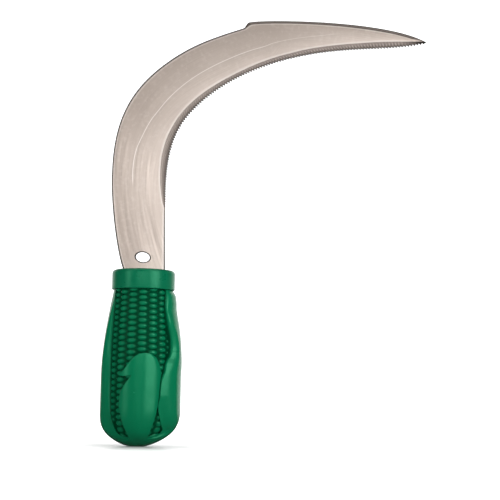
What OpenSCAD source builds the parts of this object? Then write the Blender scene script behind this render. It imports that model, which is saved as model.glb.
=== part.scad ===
// Hand sickle: a toothed, hooked steel blade in a moulded handle shaped like a maize cob.
// Frame: origin at the centre of the handle's base, +Z up the handle, the blade flat in the XZ plane,
// its bevelled face towards -Y and its point towards +X. Millimetres.

/* [Blade] */
// How far the point stands out from the handle's axis
blade_reach = 182.2; // [140:0.1:230]
// Height of the blade's back above the top of the handle's spigot
blade_rise = 171.7; // [130:0.1:220]
// Thickness of the steel
blade_t = 1.5; // [1:0.1:2]
// Width of the neck where it leaves the collar
neck_w = 25.2; // [20:0.2:31]
// Offset of the neck's middle from the handle's axis
neck_shift = 1.2; // [0:0.1:2]
// Width of the ground cutting bevel
bevel_w = 4; // [2:0.1:6]
// Thickness left at the cutting edge
edge_t = 0.3; // [0.2:0.05:0.8]
// Width of the bevel ground on the back of the toe
back_bevel_w = 2.5; // [0.8:0.1:3]
// Thickness left at the back of the toe
back_edge_t = 0.7; // [0.4:0.05:1]
// Depth of one saw tooth
tooth_h = 1.2; // [0.3:0.05:1.5]
// Tooth pitch next to the heel
pitch_heel = 1.6; // [1.3:0.05:2.4]
// Tooth pitch at the toe
pitch_toe = 2.05; // [1.5:0.05:2.8]

/* [Hanging hole] */
// Length of the oval hole in the neck
hole_l = 9; // [7:0.1:12]
// Height of the oval hole
hole_h = 6.4; // [5:0.1:8]
// Height of the hole's centre above the collar
hole_rise = 8.7; // [6:0.1:14]
// Slant of the hole, in degrees
hole_slant = 7; // [0:1:15]

/* [Tang] */
// Width of the tang inside the handle
tang_w = 14; // [10:0.2:18]
// Length of the tang below its shoulders
tang_l = 80; // [60:1:95]
// Height of the sloped shoulders
shoulder_h = 2; // [1:0.5:4]

/* [Handle] */
// Height of the handle, base to collar top
handle_h = 113; // [105:0.5:140]
// Width of the grip across its side husks
grip_w = 51.6; // [46:0.2:62]
// Width of the cob, front to back, at the belly
cob_d = 41.6; // [40:0.2:50]
// Diameter of the flat that the handle stands on
base_d = 10; // [8:0.5:20]
// Height of the rounding above the base
base_round_h = 24; // [18:0.5:28]
// Distance from the grip's mouth down to its widest place
belly_drop = 58; // [40:1:64]

/* [Kernels and leaves] */
// Height of a kernel above the valleys
kernel_h = 1.2; // [0.6:0.1:1.6]
// Spacing of the kernels along the handle
kernel_pitch = 3.65; // [3.4:0.05:5]
// Height of the smooth rim below the kernels
rim_h = 10; // [9:0.5:14]
// Height of the leaf above the cob
leaf_h = 1.8; // [0.6:0.1:2.2]
// Height of the husk's lip above the cob
husk_lip = 1; // [0.4:0.1:1.6]

/* [Collar] */
// Outside diameter of the collar
collar_d = 40.6; // [38:0.1:48]
// Height of the collar
collar_h = 12.7; // [10:0.1:16]
// Thickness of the collar's wall
collar_wall = 3; // [2.4:0.1:3.6]
// Thickness of the collar's roof
collar_roof = 3.4; // [3:0.1:4.5]
// Radius round the top of the collar
collar_round = 2.4; // [1:0.1:2.8]
// How far the collar stands out over the grip
collar_overhang = 1.4; // [0.5:0.1:1.8]

/* [Core and rivets] */
// Wall of the grip's spigot round the core
spigot_wall = 3.2; // [2:0.1:4]
// Depth of solid grip below the core
core_floor = 11; // [8:0.5:20]
// Distance between the core's front and back flats
core_flats = 21; // [18:0.5:22]
// Diameter of a rivet's shank
rivet_d = 4; // [3:0.1:4.8]
// Diameter of a rivet's factory head
rivet_head_d = 8; // [6:0.1:9]
// Height of a rivet's factory head
rivet_head_h = 1.5; // [1:0.1:1.6]
// Distance between the two rivets
rivet_gap = 40; // [24:1:50]
// Distance from the shoulders down to the upper rivet
rivet_drop = 23; // [15:0.5:30]
// Diameter of the burr under a peened head
burr_d = 9; // [7:0.1:9.6]
// Thickness of the burr
burr_t = 1; // [0.5:0.1:1]

/* [Fit] */
// Clearance between moulded pieces that slide together
fit = 0.1; // [0.05:0.05:0.2]

/* [Hidden] */
$fn = 64;

// Heights up the handle
grip_h = handle_h - collar_h;
shoulder_z = handle_h - collar_roof - fit;
tang_z = shoulder_z - tang_l;
rivet_z = [shoulder_z - rivet_drop, shoulder_z - rivet_drop - rivet_gap];

// Radii of what fits inside what
spigot_r = collar_d / 2 - collar_wall;
mouth_r = collar_d / 2 - collar_overhang;
core_r = spigot_r - spigot_wall;
rivet_fit = 0.1;

// Outline of the blade at its drawn size: cubic curves as [x from the axis, height above the shoulders]
drawn_reach = 182.2;
drawn_rise = 171.7;
neck_fade = 67.7;
back_curves = [
    [[-11.4, 0], [-17.5, 8.4], [-23.3, 51], [-22.5, 67.7]],
    [[-22.5, 67.7], [-22.3, 96.7], [-15.6, 119.6], [9.3, 139.4]],
    [[9.3, 139.4], [26.7, 153.3], [40.7, 158.2], [61.4, 165.3]],
    [[61.4, 165.3], [63.2, 165.9], [63, 168.8], [65.4, 169.7]],
    [[65.4, 169.7], [76, 171.9], [156, 173], [182.2, 158.5]]
];
edge_curves = [
    [[13.8, 0], [13.5, 13.4], [12.9, 29.4], [12.8, 43.4]],
    [[12.8, 43.4], [12.6, 69.4], [12.7, 89.8], [27, 107.2]],
    [[27, 107.2], [43.6, 127.3], [69.8, 140.1], [95, 146.3]],
    [[95, 146.3], [129.9, 155.4], [156.3, 151.5], [182.2, 158]]
];
curve_steps = 24;
neck_steps = 14;
// Room in the collar's slot beside the neck, at the back and at the edge
slot_room = [2.4, 1];
step_share = 0.88;

// Width and depth of the deburred corner along the blade's plain edges
burr_w = 0.3;
burr_h = 0.15;

// Smooth outlines of the front leaf at the grip's drawn height: [height, x] down its left side and its beak,
// and down its right side
drawn_grip_h = 100.3;
leaf_left = [[5, -3.5], [7.8, -5], [13.7, -8.3], [19.9, -10.5], [26.1, -11.7], [31.2, -11.5], [35.4, -10.4],
             [39.2, -8.5], [42.6, -6], [44.4, -4.5], [45, -12.4], [47.8, -9.6], [51.8, -6.8],
             [55.4, -4.1], [57.6, -1.6], [58.7, 0.9], [59.2, 4.2]];
leaf_right = [[5, 6.6], [10.2, 8.7], [14.4, 9.9], [19, 11], [24.5, 12.1], [29.1, 12.8], [34.2, 13.5],
              [39.2, 14], [44.3, 14.1], [48.5, 13.7], [52.3, 12.6], [55.2, 11.3], [57.2, 9.7],
              [58.6, 7.2], [59.2, 4.2]];
leaf_edge = 1.2;

// Spacing of the kernel columns and the turn of the middle one from the front, in degrees
column_a = 20;
column_turn = 5;

// Front edges of the two side husks, as [height, distance from the handle's middle plane]
husk_left = [[5, 6], [6.5, 9], [9, 13.8], [14, 16.8], [23, 18.4], [43, 19], [62, 19], [80, 18.5], [100.3, 17.2]];
husk_right = [[5, 7], [7, 12.5], [9.5, 17.4], [11, 18.6], [14, 16.8], [18.2, 15.1], [22.4, 13.8], [26.6, 13.3],
              [35.9, 14.1], [41, 14.5], [47.8, 16.3], [52, 16.8], [55, 17.6], [57.3, 19.1], [62.5, 19.7],
              [68.5, 19.4], [74, 18.5], [79.4, 17.5], [84.8, 16.5], [94.3, 15.8], [100.3, 15.2]];
// Section of the husks: a rounded box |x/a|^n + |y/b|^n = 1, as [height, n] and [height, b]
husk_power = [[20, 2.5], [45, 2.6], [52, 3], [57.3, 3.5], [62.5, 4], [85, 4], [94, 3.6], [100.3, 2.6]];
husk_depth_left = [[0, 12], [23, 13.4], [45, 12.1], [62.5, 10.8], [80, 11.3], [94.3, 12.5], [100.3, 14]];
husk_depth_right = [[0, 16.5], [20, 18], [30, 18.3], [45, 18], [52, 15.8], [57.3, 12.4], [62.5, 10.9],
                    [68.5, 11.1], [74, 12.4], [79.4, 13.7], [84.8, 14.5], [94.3, 14.3], [100.3, 14]];
turn_step = 5;

// Height of the sloped ledge at the grip's mouth, which the collar's skirt hides
mouth_slope = 0.4;

// ---- curves ----

// Point at t on a cubic curve
function bez(c, t) = pow(1 - t, 3) * c[0] + 3 * t * pow(1 - t, 2) * c[1]
    + 3 * t * t * (1 - t) * c[2] + pow(t, 3) * c[3];

// Table of [length so far, t] along a cubic curve
function chord(c, i) = norm(bez(c, i / curve_steps) - bez(c, (i - 1) / curve_steps));
function arc_table(c) = [
    for (i = 0, s = 0; i <= curve_steps; i = i + 1, s = s + chord(c, i)) [s, i / curve_steps]
];

// Point at a share f of a curve's length
function along(c, table, f) = bez(c, lookup(f * table[curve_steps][0], table));

// A drawn outline point moved to the chosen reach and rise; the neck keeps its own width
function placed(p, drawn_x, neck_x) =
    let (k = blade_reach / drawn_reach, fade = max(0, 1 - p[1] / neck_fade))
    [k * p[0] + (neck_x - k * drawn_x) * fade, shoulder_z + p[1] * blade_rise / drawn_rise];

function placed_curves(curves, neck_x) = [for (c = curves) [for (p = c) placed(p, curves[0][0][0], neck_x)]];

back = placed_curves(back_curves, neck_shift - neck_w / 2);
edge = placed_curves(edge_curves, neck_shift + neck_w / 2);
back_tables = [for (c = back) arc_table(c)];
edge_tables = [for (c = edge) arc_table(c)];

// Point on the back that faces a share f of the edge's curve number k
function back_point(k, f) =
    k < 2 ? along(back[k], back_tables[k], f)
    : k == 3 ? along(back[4], back_tables[4], f)
    : f < step_share ? along(back[2], back_tables[2], f / step_share)
    : along(back[3], back_tables[3], (f - step_share) / (1 - step_share));

// ---- blade ----

edge_lengths = [for (t = edge_tables) t[curve_steps][0]];
toothed_l = edge_lengths[1] + edge_lengths[2] + edge_lengths[3];
function toothed_before(k) = k < 2 ? 0 : k == 2 ? edge_lengths[1] : edge_lengths[1] + edge_lengths[2];
function teeth_in(k) =
    let (share = (toothed_before(k) + edge_lengths[k] / 2) / toothed_l)
    round(edge_lengths[k] / (pitch_heel + (pitch_toe - pitch_heel) * share));

// One cross-section: back edge, back bevel, cutting bevel, cutting edge, then the flat side
function section(b, c, bevel, back_bevel, tooth) =
    let (w = norm(c - b), d = (c - b) / w,
         cut = min(max(bevel, burr_w), 0.45 * w), rear = min(max(back_bevel, burr_w), 0.35 * w),
         thin = max(burr_h, (blade_t - edge_t) * min(1, bevel / 1.5)),
         thick = max(burr_h, (blade_t - back_edge_t) * min(1, back_bevel / back_bevel_w)),
         half = blade_t / 2,
         stops = [[0, thick - half], [rear, -half], [w - cut, -half], [w + tooth, thin - half],
                  [w + tooth, half], [0, half]])
    [for (s = stops) [b[0] + s[0] * d[0], s[1], b[1] + s[0] * d[1]]];

// Bevel width at a share g of the toothed edge
bevel_growth = [[0, 0.1], [0.017, 0.55], [0.038, 0.9], [0.066, 1.18], [0.1, 1.4], [0.134, 1.48], [0.17, 1.43],
                [0.21, 1.28], [0.3, 1.07], [0.36, 0.89], [0.42, 0.74], [0.46, 0.7], [0.5, 0.75], [0.62, 1.01],
                [0.7, 1.14], [0.84, 1.17], [0.89, 1.1], [0.957, 0.68], [1, 0.2]];
function bevel_at(g) = bevel_w * lookup(g, bevel_growth);

neck_sections = [for (i = [0 : neck_steps - 1])
    section(back_point(0, i / neck_steps), along(edge[0], edge_tables[0], i / neck_steps), 0, 0, 0)];
toothed_sections = [for (k = [1 : 3]) let (n = 2 * teeth_in(k)) for (i = [0 : n - (k == 3 ? 0 : 1)])
    let (f = i / n, g = (toothed_before(k) + f * edge_lengths[k]) / toothed_l,
         rear = k == 1 ? 0 : back_bevel_w * (k == 3 ? 1 : max(0, (f - step_share) / (1 - step_share))))
    section(back_point(k, f), along(edge[k], edge_tables[k], f), bevel_at(g), rear,
            tooth_h * min(1, g * 20) * (i % 2 == 0 ? -0.5 : 0.5))];
tang_sections = [for (z = [tang_z, shoulder_z - shoulder_h]) section([-tang_w / 2, z], [tang_w / 2, z], 0, 0, 0)];

// Closed solid through a list of rings with the same number of points, first ring lowest
module skin(rings) {
    n = len(rings[0]);
    last = len(rings) - 1;
    faces = concat(
        [[for (j = [0 : n - 1]) j]],
        [for (i = [0 : last - 1]) for (j = [0 : n - 1]) let (a = i * n + j, b = i * n + (j + 1) % n) each
            [[a, a + n, b], [b, a + n, b + n]]],
        [[for (j = [n - 1 : -1 : 0]) last * n + j]]
    );
    polyhedron(points = [for (r = rings) each r], faces = faces, convexity = 10);
}

// A round hole through everything, front to back
module cross_hole(x, z, r, l = 60) {
    translate([x, l / 2, z]) rotate([90, 0, 0]) cylinder(h = l, r = r);
}

module oval_hole() {
    reach = (hole_l - hole_h) / 2;
    translate([neck_shift - 2.1, 0, handle_h + hole_rise]) rotate([0, hole_slant, 0]) {
        for (x = [-reach, reach]) cross_hole(x, 0, hole_h / 2, 4 * blade_t);
        cube([2 * reach, 4 * blade_t, hole_h], center = true);
    }
}

module blade() {
    color([0.80, 0.75, 0.70])
    difference() {
        skin(concat(tang_sections, neck_sections, toothed_sections));
        oval_hole();
        for (z = rivet_z) cross_hole(0, z, rivet_d / 2 + rivet_fit);
    }
}

// ---- core and rivets ----

// One half of the moulded core, on the side of -Y
module core_half() {
    difference() {
        translate([0, 0, core_floor + fit]) cylinder(h = shoulder_z - core_floor - fit, r = core_r);
        translate([-core_r - 1, 0, 0]) cube([2 * core_r + 2, core_r + 1, handle_h]);
        translate([-core_r - 1, -core_r - 1, 0]) cube([2 * core_r + 2, core_r + 1 - core_flats / 2, handle_h]);
        translate([-tang_w / 2 - fit, -blade_t / 2, tang_z - fit]) cube([tang_w + 2 * fit, blade_t, handle_h]);
        shoulder_slot();
        for (z = rivet_z) cross_hole(0, z, rivet_d / 2 + rivet_fit);
    }
}

// Room for the blade's shoulders and neck
module shoulder_slot() {
    translate([neck_shift - neck_w / 2 - 2 * fit, -blade_t / 2, shoulder_z - shoulder_h - fit])
        cube([neck_w + 4 * fit, blade_t, handle_h]);
}

module core_front() { color([0.16, 0.17, 0.18]) core_half(); }

module core_back() { color([0.16, 0.17, 0.18]) mirror([0, 1, 0]) core_half(); }

// A disc whose axis runs front to back, from y0 to y0 + h
module disc(r, y0, h, z) {
    translate([0, y0 + h, z]) rotate([90, 0, 0]) cylinder(h = h, r = r);
}

module tang_rivets() {
    front = -core_flats / 2;
    peened = core_flats / 2 + burr_t;
    color([0.62, 0.62, 0.60])
    for (z = rivet_z) {
        disc(rivet_head_d / 2, front - rivet_head_h, rivet_head_h, z);
        disc(rivet_d / 2, front - rivet_head_h / 2, core_flats + burr_t + rivet_head_h, z);
        disc(0.8 * rivet_d, peened, 0.25 * rivet_d, z);
    }
}

module rivet_burrs() {
    color([0.72, 0.70, 0.64])
    for (z = rivet_z) difference() {
        disc(burr_d / 2, core_flats / 2, burr_t, z);
        cross_hole(0, z, rivet_d / 2 + rivet_fit / 2);
    }
}

// ---- grip ----

// Rounding of the lower end: 0 at the base, 1 above it
function base_swell(z) = z >= base_round_h ? 1 : pow(1 - pow(1 - z / base_round_h, 3), 0.8);
// Swell from the mouth down to the belly: 0 at the mouth, 1 at the belly
function belly_swell(z) = sin(90 * min(1, (grip_h - z) / belly_drop));
// Radius of the grip at height z, whose belly radius is r
function grip_r(z, r) = base_d / 2 + (mouth_r + (r - mouth_r) * belly_swell(z) - base_d / 2) * base_swell(z);

// Height of the leaf's surface above the cob at x and z: 0 outside its outline
function leaf_rise(x, z) =
    let (u = z * drawn_grip_h / grip_h, k = cob_d / 41.6)
    u > leaf_left[len(leaf_left) - 1][0] ? 0
    : leaf_h * min(1, max(0, min(x - k * lookup(u, leaf_left), k * lookup(u, leaf_right) - x) / leaf_edge));

// Relief of the kernels at an angle from the front, on ring number i: neighbouring columns are staggered
function kernel_rise(a, i) =
    let (c = (a - column_turn) / column_a)
    kernel_h * (1 + cos(360 * c)) / 2 * ((round(c) + i) % 2 == 0 ? 1 : 0.3);

// How far the husks have risen over the plain form: 0 at the base and at the mouth
function husk_share(z) = max(0, min(1, (z - 4) / 12, (grip_h - z) / 6));

// Radius of the side husk at height z and an angle from the front
function husk_r(z, a) =
    let (cob = grip_r(z, cob_d / 2), flank = grip_r(z, grip_w / 2), u = z * drawn_grip_h / grip_h,
         n = lookup(u, husk_power), share = husk_share(z),
         b = lookup(u, a < 0 ? husk_depth_left : husk_depth_right) * cob_d / 41.6,
         box = pow(pow(abs(sin(a)) / flank, n) + pow(cos(a) / b, n), -1 / n),
         round_r = pow(pow(sin(a) / flank, 2) + pow(cos(a) / cob, 2), -1 / 2))
    min(flank, round_r + share * (max(box, cob + husk_lip) - round_r));

// Outer radius at height z and an angle from the front
function outer_r(z, a, i) =
    let (cob = grip_r(z, cob_d / 2), x = cob * sin(a), leaf = leaf_rise(x, z), u = z * drawn_grip_h / grip_h,
         husk = (x < 0 ? lookup(u, husk_left) : lookup(u, husk_right)) * cob_d / 41.6)
    abs(x) >= min(husk, 0.99 * cob) ? husk_r(z, a)
    : z < rim_h || leaf > 0 ? cob + leaf
    : cob - kernel_h + kernel_rise(a, i);

function half_ring(z, radii) = [for (k = [0 : len(radii) - 1])
    let (a = -90 + k * turn_step) [radii[k] * sin(a), a == -90 || a == 90 ? 0 : -radii[k] * cos(a), z]];

rows = floor((grip_h - rim_h - 1) / kernel_pitch);
kernel_z = [for (i = [0 : 2 * rows]) rim_h + i * kernel_pitch / 2];
ring_z = concat([0, 0.5, 1.2, 2.2, 4, 6.5, 8.5], kernel_z, [grip_h - mouth_slope]);
grip_rings = [for (i = [0 : len(ring_z) - 1])
    half_ring(ring_z[i], [for (a = [-90 : turn_step : 90]) outer_r(ring_z[i], a, i)])];
spigot_rings = [for (z = [grip_h, shoulder_z]) half_ring(z, [for (a = [-90 : turn_step : 90]) spigot_r])];

// Front half of the grip, with its cavity for the core and the slot for the blade's shoulders
module grip_half() {
    difference() {
        skin(concat(grip_rings, spigot_rings));
        translate([0, 0, core_floor]) cylinder(h = handle_h, r = core_r + fit);
        shoulder_slot();
    }
}

module grip_front() { color([0.02, 0.42, 0.28]) grip_half(); }

module grip_back() { color([0.02, 0.40, 0.27]) mirror([0, 1, 0]) grip_half(); }

// ---- collar ----

module collar() {
    r = collar_d / 2;
    color([0.01, 0.38, 0.25])
    difference() {
        translate([0, 0, grip_h]) rotate_extrude($fn = 96) difference() {
            union() {
                square([r - collar_round, collar_h]);
                square([r, collar_h - collar_round]);
                translate([r - collar_round, collar_h - collar_round]) circle(r = collar_round);
            }
            translate([-1, -1]) square([spigot_r + fit + 1, collar_h - collar_roof + 1]);
        }
        translate([neck_shift - neck_w / 2 - slot_room[0], -blade_t / 2 - fit, grip_h])
            cube([neck_w + slot_room[0] + slot_room[1], blade_t + 2 * fit, collar_h + 1]);
    }
}

blade();
core_front();
core_back();
tang_rivets();
rivet_burrs();
grip_front();
grip_back();
collar();
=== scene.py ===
"""Hand sickle: a saw-toothed steel hook held in a moulded handle shaped like a maize cob.

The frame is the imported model's: +Z up the handle, the blade flat in the XZ plane, its bevelled face
towards -Y and its point towards +X. Sizes below are in millimetres; a mesh is turned into metres when
it is made.
"""

import logging
import math
from dataclasses import dataclass, field
from enum import Enum

import bmesh
import bpy
import numpy as np
from mathutils import Matrix, Vector


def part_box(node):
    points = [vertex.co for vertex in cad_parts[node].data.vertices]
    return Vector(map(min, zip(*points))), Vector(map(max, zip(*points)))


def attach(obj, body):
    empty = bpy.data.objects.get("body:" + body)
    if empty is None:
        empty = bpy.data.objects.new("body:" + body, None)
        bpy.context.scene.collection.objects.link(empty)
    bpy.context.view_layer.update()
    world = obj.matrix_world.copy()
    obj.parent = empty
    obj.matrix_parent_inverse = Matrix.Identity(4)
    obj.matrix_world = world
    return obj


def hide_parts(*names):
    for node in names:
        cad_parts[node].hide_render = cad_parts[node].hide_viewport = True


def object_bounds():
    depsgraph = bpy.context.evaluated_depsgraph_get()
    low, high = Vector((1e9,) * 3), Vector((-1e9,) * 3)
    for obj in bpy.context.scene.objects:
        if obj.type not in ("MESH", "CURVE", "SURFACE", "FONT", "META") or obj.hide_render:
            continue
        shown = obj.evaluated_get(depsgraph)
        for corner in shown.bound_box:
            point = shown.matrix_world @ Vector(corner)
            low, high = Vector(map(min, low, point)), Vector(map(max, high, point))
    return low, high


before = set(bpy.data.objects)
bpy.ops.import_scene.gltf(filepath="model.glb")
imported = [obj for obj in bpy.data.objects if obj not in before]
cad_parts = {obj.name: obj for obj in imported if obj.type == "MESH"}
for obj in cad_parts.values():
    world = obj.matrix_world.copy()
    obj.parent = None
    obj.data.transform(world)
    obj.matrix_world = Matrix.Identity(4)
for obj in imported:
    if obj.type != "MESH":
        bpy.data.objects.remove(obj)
CAD_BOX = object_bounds()

LOG = logging.getLogger("hand_sickle")
MM = 0.001
ZONES = "zones"
Triple = tuple[float, float, float]
Colour = Triple
Profile = tuple[tuple[float, float], ...]


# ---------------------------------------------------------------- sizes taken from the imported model


def box_mm(node: str) -> np.ndarray:
    """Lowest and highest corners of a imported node.

    Args:
        node: name of the node.

    Returns:
        Array of two corners, in millimetres.
    """
    return np.array([tuple(corner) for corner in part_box(node)]) / MM


COLLAR_BOX = box_mm("collar")
GRIP_BOX = box_mm("grip_front")
BLADE_BOX = box_mm("blade")
CORE_BOX = box_mm("core_front")

HANDLE_H = COLLAR_BOX[1, 2]
GRIP_H = COLLAR_BOX[0, 2]
COLLAR_R = COLLAR_BOX[1, 0]
SHOULDER_Z = CORE_BOX[1, 2]
CORE_FLOOR = CORE_BOX[0, 2]
CORE_R = CORE_BOX[1, 0]
BLADE_T = BLADE_BOX[1, 1] - BLADE_BOX[0, 1]
TANG_Z = BLADE_BOX[0, 2]
FLANK_R = GRIP_BOX[1, 0]

# Sizes that the boxes don't give, and what follows from them.
COLLAR_WALL = 3.0
COLLAR_OVERHANG = 1.4
LEAF_H = 1.8
FIT = 0.1
MOUTH_R = COLLAR_R - COLLAR_OVERHANG
SPIGOT_R = COLLAR_R - COLLAR_WALL
COB_R = -GRIP_BOX[0, 1] - LEAF_H


# ---------------------------------------------------------------- finishes


class Bench:
    """A small bench for wiring the nodes of one material."""

    def __init__(self, name: str) -> None:
        """Start a node material with a Principled shader.

        Args:
            name: name of the material.
        """
        self.material = bpy.data.materials.new(name)
        self.material.use_nodes = True
        self.tree = self.material.node_tree
        self.tree.nodes.clear()
        self.shader = self.node("ShaderNodeBsdfPrincipled")
        output = self.node("ShaderNodeOutputMaterial")
        self.link(self.shader.outputs["BSDF"], output.inputs["Surface"])

    def node(self, kind: str, **settings: object) -> bpy.types.Node:
        """Add a node and set its properties.

        Args:
            kind: the node's type name.
            settings: property names and values.

        Returns:
            The new node.
        """
        node = self.tree.nodes.new(kind)
        for key, value in settings.items():
            setattr(node, key, value)
        return node

    def link(self, source: bpy.types.NodeSocket, target: bpy.types.NodeSocket) -> None:
        """Join an output socket to an input socket."""
        self.tree.links.new(source, target)

    def noise(self, vector: bpy.types.NodeSocket, scale: float, detail: float = 4.0) -> bpy.types.NodeSocket:
        """Noise texture on a coordinate.

        Args:
            vector: coordinate socket.
            scale: cells per unit of the coordinate.
            detail: octaves of detail.

        Returns:
            The factor output.
        """
        node = self.node("ShaderNodeTexNoise")
        node.inputs["Scale"].default_value = scale
        node.inputs["Detail"].default_value = detail
        self.link(vector, node.inputs["Vector"])
        return node.outputs["Fac"]

    def stretch(self, vector: bpy.types.NodeSocket, scale: Triple) -> bpy.types.NodeSocket:
        """Scale a coordinate along its axes.

        Args:
            vector: coordinate socket.
            scale: factor along each axis.

        Returns:
            The scaled coordinate.
        """
        node = self.node("ShaderNodeMapping")
        node.inputs["Scale"].default_value = scale
        self.link(vector, node.inputs["Vector"])
        return node.outputs["Vector"]

    def ramp(self, factor: bpy.types.NodeSocket, low: float, high: float,
             at: tuple[float, float] = (0.0, 1.0)) -> bpy.types.NodeSocket:
        """Map a factor between two values.

        Args:
            factor: input socket.
            low: value at the start of the input range.
            high: value at its end.
            at: the input range.

        Returns:
            The mapped value.
        """
        node = self.node("ShaderNodeMapRange", clamp=True)
        for name, value in (("From Min", at[0]), ("From Max", at[1]), ("To Min", low), ("To Max", high)):
            node.inputs[name].default_value = value
        self.link(factor, node.inputs["Value"])
        return node.outputs["Result"]

    def mix(self, factor: bpy.types.NodeSocket, first: bpy.types.NodeSocket | Colour,
            second: bpy.types.NodeSocket | Colour) -> bpy.types.NodeSocket:
        """Mix two colours.

        Args:
            factor: mixing socket.
            first: colour or socket at 0.
            second: colour or socket at 1.

        Returns:
            The mixed colour.
        """
        node = self.node("ShaderNodeMix", data_type="RGBA")
        self.link(factor, node.inputs[0])
        for socket, value in ((node.inputs[6], first), (node.inputs[7], second)):
            if isinstance(value, bpy.types.NodeSocket):
                self.link(value, socket)
            else:
                socket.default_value = (*value, 1.0)
        return node.outputs[2]

    def bump(self, height: bpy.types.NodeSocket, strength: float, depth: float,
             under: bpy.types.NodeSocket | None = None) -> bpy.types.NodeSocket:
        """Bump from a height.

        Args:
            height: height socket.
            strength: share of the bump that shows.
            depth: height of a full step, in metres.
            under: a normal that this bump lies on.

        Returns:
            The bumped normal.
        """
        node = self.node("ShaderNodeBump")
        node.inputs["Strength"].default_value = strength
        node.inputs["Distance"].default_value = depth
        self.link(height, node.inputs["Height"])
        if under is not None:
            self.link(under, node.inputs["Normal"])
        return node.outputs["Normal"]

    def zones(self) -> list[bpy.types.NodeSocket]:
        """The three channels of the mesh's own zone colours.

        Returns:
            Red, green and blue sockets.
        """
        attribute = self.node("ShaderNodeVertexColor", layer_name=ZONES)
        split = self.node("ShaderNodeSeparateColor")
        self.link(attribute.outputs["Color"], split.inputs["Color"])
        return [split.outputs[k] for k in range(3)]


@dataclass(frozen=True)
class MouldedPlastic:
    """Glossy moulded plastic with a fine skin and handling smears. Its first zone channel paints shade: a
    darker colour and less gloss between the kernels, along the husks' front walls, under the leaf's edge
    and on the spigot under the collar.
    """

    name: str
    colour: Colour
    # Painted shade: the colour that the hollows take.
    hollow: Colour
    roughness: float = 0.22
    specular: float = 0.45
    hollow_gloss: float = 0.2
    tint: Colour = (0.24, 1.0, 0.58)

    def build(self) -> bpy.types.Material:
        """Make the material.

        Returns:
            The material.
        """
        bench = Bench(self.name)
        place = bench.node("ShaderNodeTexCoord").outputs["Object"]
        tone = bench.ramp(bench.noise(place, 38.0), 0.0, 0.22)
        faded = tuple(min(1.0, 1.25 * c + 0.006) for c in self.colour)
        body = bench.mix(tone, self.colour, faded)
        # Painted shade: the first zone channel darkens the colour and lowers the gloss in the hollows.
        hollow = bench.zones()[0]
        bench.link(bench.mix(hollow, body, self.hollow), bench.shader.inputs["Base Color"])
        smear = bench.ramp(bench.noise(place, 120.0, 6.0), self.roughness - 0.05, self.roughness + 0.09)
        bench.link(smear, bench.shader.inputs["Roughness"])
        skin = bench.bump(bench.noise(place, 900.0, 2.0), 0.10, 0.0002)
        wave = bench.bump(bench.noise(place, 110.0, 1.0), 0.06, 0.0015, skin)
        bench.link(wave, bench.shader.inputs["Normal"])
        bench.link(bench.ramp(hollow, self.specular, self.hollow_gloss * self.specular, (0.2, 0.9)),
                   bench.shader.inputs["Specular IOR Level"])
        bench.shader.inputs["Specular Tint"].default_value = (*self.tint, 1.0)
        return bench.material


@dataclass(frozen=True)
class SatinSteel:
    """Satin rolled steel with a grain along the blade and a dark ground bevel. Painted light on it: the side
    towards the back is painted darker as shade, the crease and the edges carry thin painted highlight lines,
    and the edges, tooth tips, point and hole walls are painted near-black for the dark surroundings that
    they reflect.
    """

    name: str
    face: Colour = (0.84, 0.73, 0.655)
    shade: Colour = (0.46, 0.385, 0.335)
    bevel: Colour = (0.088, 0.07, 0.062)
    # Painted dark edge: rim is the near-black of the rounded edges, tooth tips, point and hole walls, for the
    # dark surroundings that they reflect.
    rim: Colour = (0.012, 0.01, 0.009)
    # Painted highlight: line is the pale crease line and the thin lines beside the edges; it also lightens
    # the random specks.
    line: Colour = (0.94, 0.87, 0.82)
    roughness: float = 0.36

    def build(self) -> bpy.types.Material:
        """Make the material.

        Returns:
            The material.
        """
        bench = Bench(self.name)
        coords = bench.node("ShaderNodeTexCoord")
        along = coords.outputs["UV"]
        place = coords.outputs["Object"]
        bevel, crease, inner = bench.zones()
        grain = bench.noise(bench.stretch(along, (26.0, 1500.0, 1.0)), 1.0, 6.0)
        cloud = bench.noise(place, 16.0, 3.0)
        speck = bench.noise(place, 420.0, 5.0)
        face = bench.mix(bench.ramp(cloud, 0.0, 0.5, (0.35, 0.7)), self.face, self.shade)
        # Painted shade: the side towards the back, up to the crease, is darkened towards shade; the side
        # towards the edge stays light.
        face = bench.mix(bench.ramp(inner, 0.9, 0.0), face, self.shade)
        face = bench.mix(bench.ramp(grain, 0.0, 0.22, (0.42, 0.68)), face, self.shade)
        face = bench.mix(bench.ramp(speck, 0.0, 0.16, (0.5, 0.75)), face, self.line)
        # Painted highlight: the crease line and the thin lines beside the edges.
        face = bench.mix(crease, face, self.line)
        bevel_and_edge_shade = bench.mix(bench.ramp(grain, 0.0, 0.14, (0.4, 0.7)), self.bevel, self.shade)
        # Painted dark edge: where the bevel zone nears 1 the colour goes to the near-black rim.
        bevel_and_edge_shade = bench.mix(bench.ramp(bevel, 0.0, 1.0, (0.82, 1.0)), bevel_and_edge_shade, self.rim)
        bench.link(bench.mix(bevel, face, bevel_and_edge_shade), bench.shader.inputs["Base Color"])
        bench.link(bench.ramp(bevel, 1.0, 0.4, (0.0, 0.8)), bench.shader.inputs["Metallic"])
        bench.link(bench.ramp(bevel, 0.5, 0.2), bench.shader.inputs["Specular IOR Level"])
        satin = bench.ramp(grain, self.roughness - 0.07, self.roughness + 0.10, (0.3, 0.7))
        bench.link(satin, bench.shader.inputs["Roughness"])
        fine = bench.bump(grain, 0.12, 0.0001)
        bench.link(bench.bump(cloud, 0.05, 0.001, fine), bench.shader.inputs["Normal"])
        return bench.material


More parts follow.
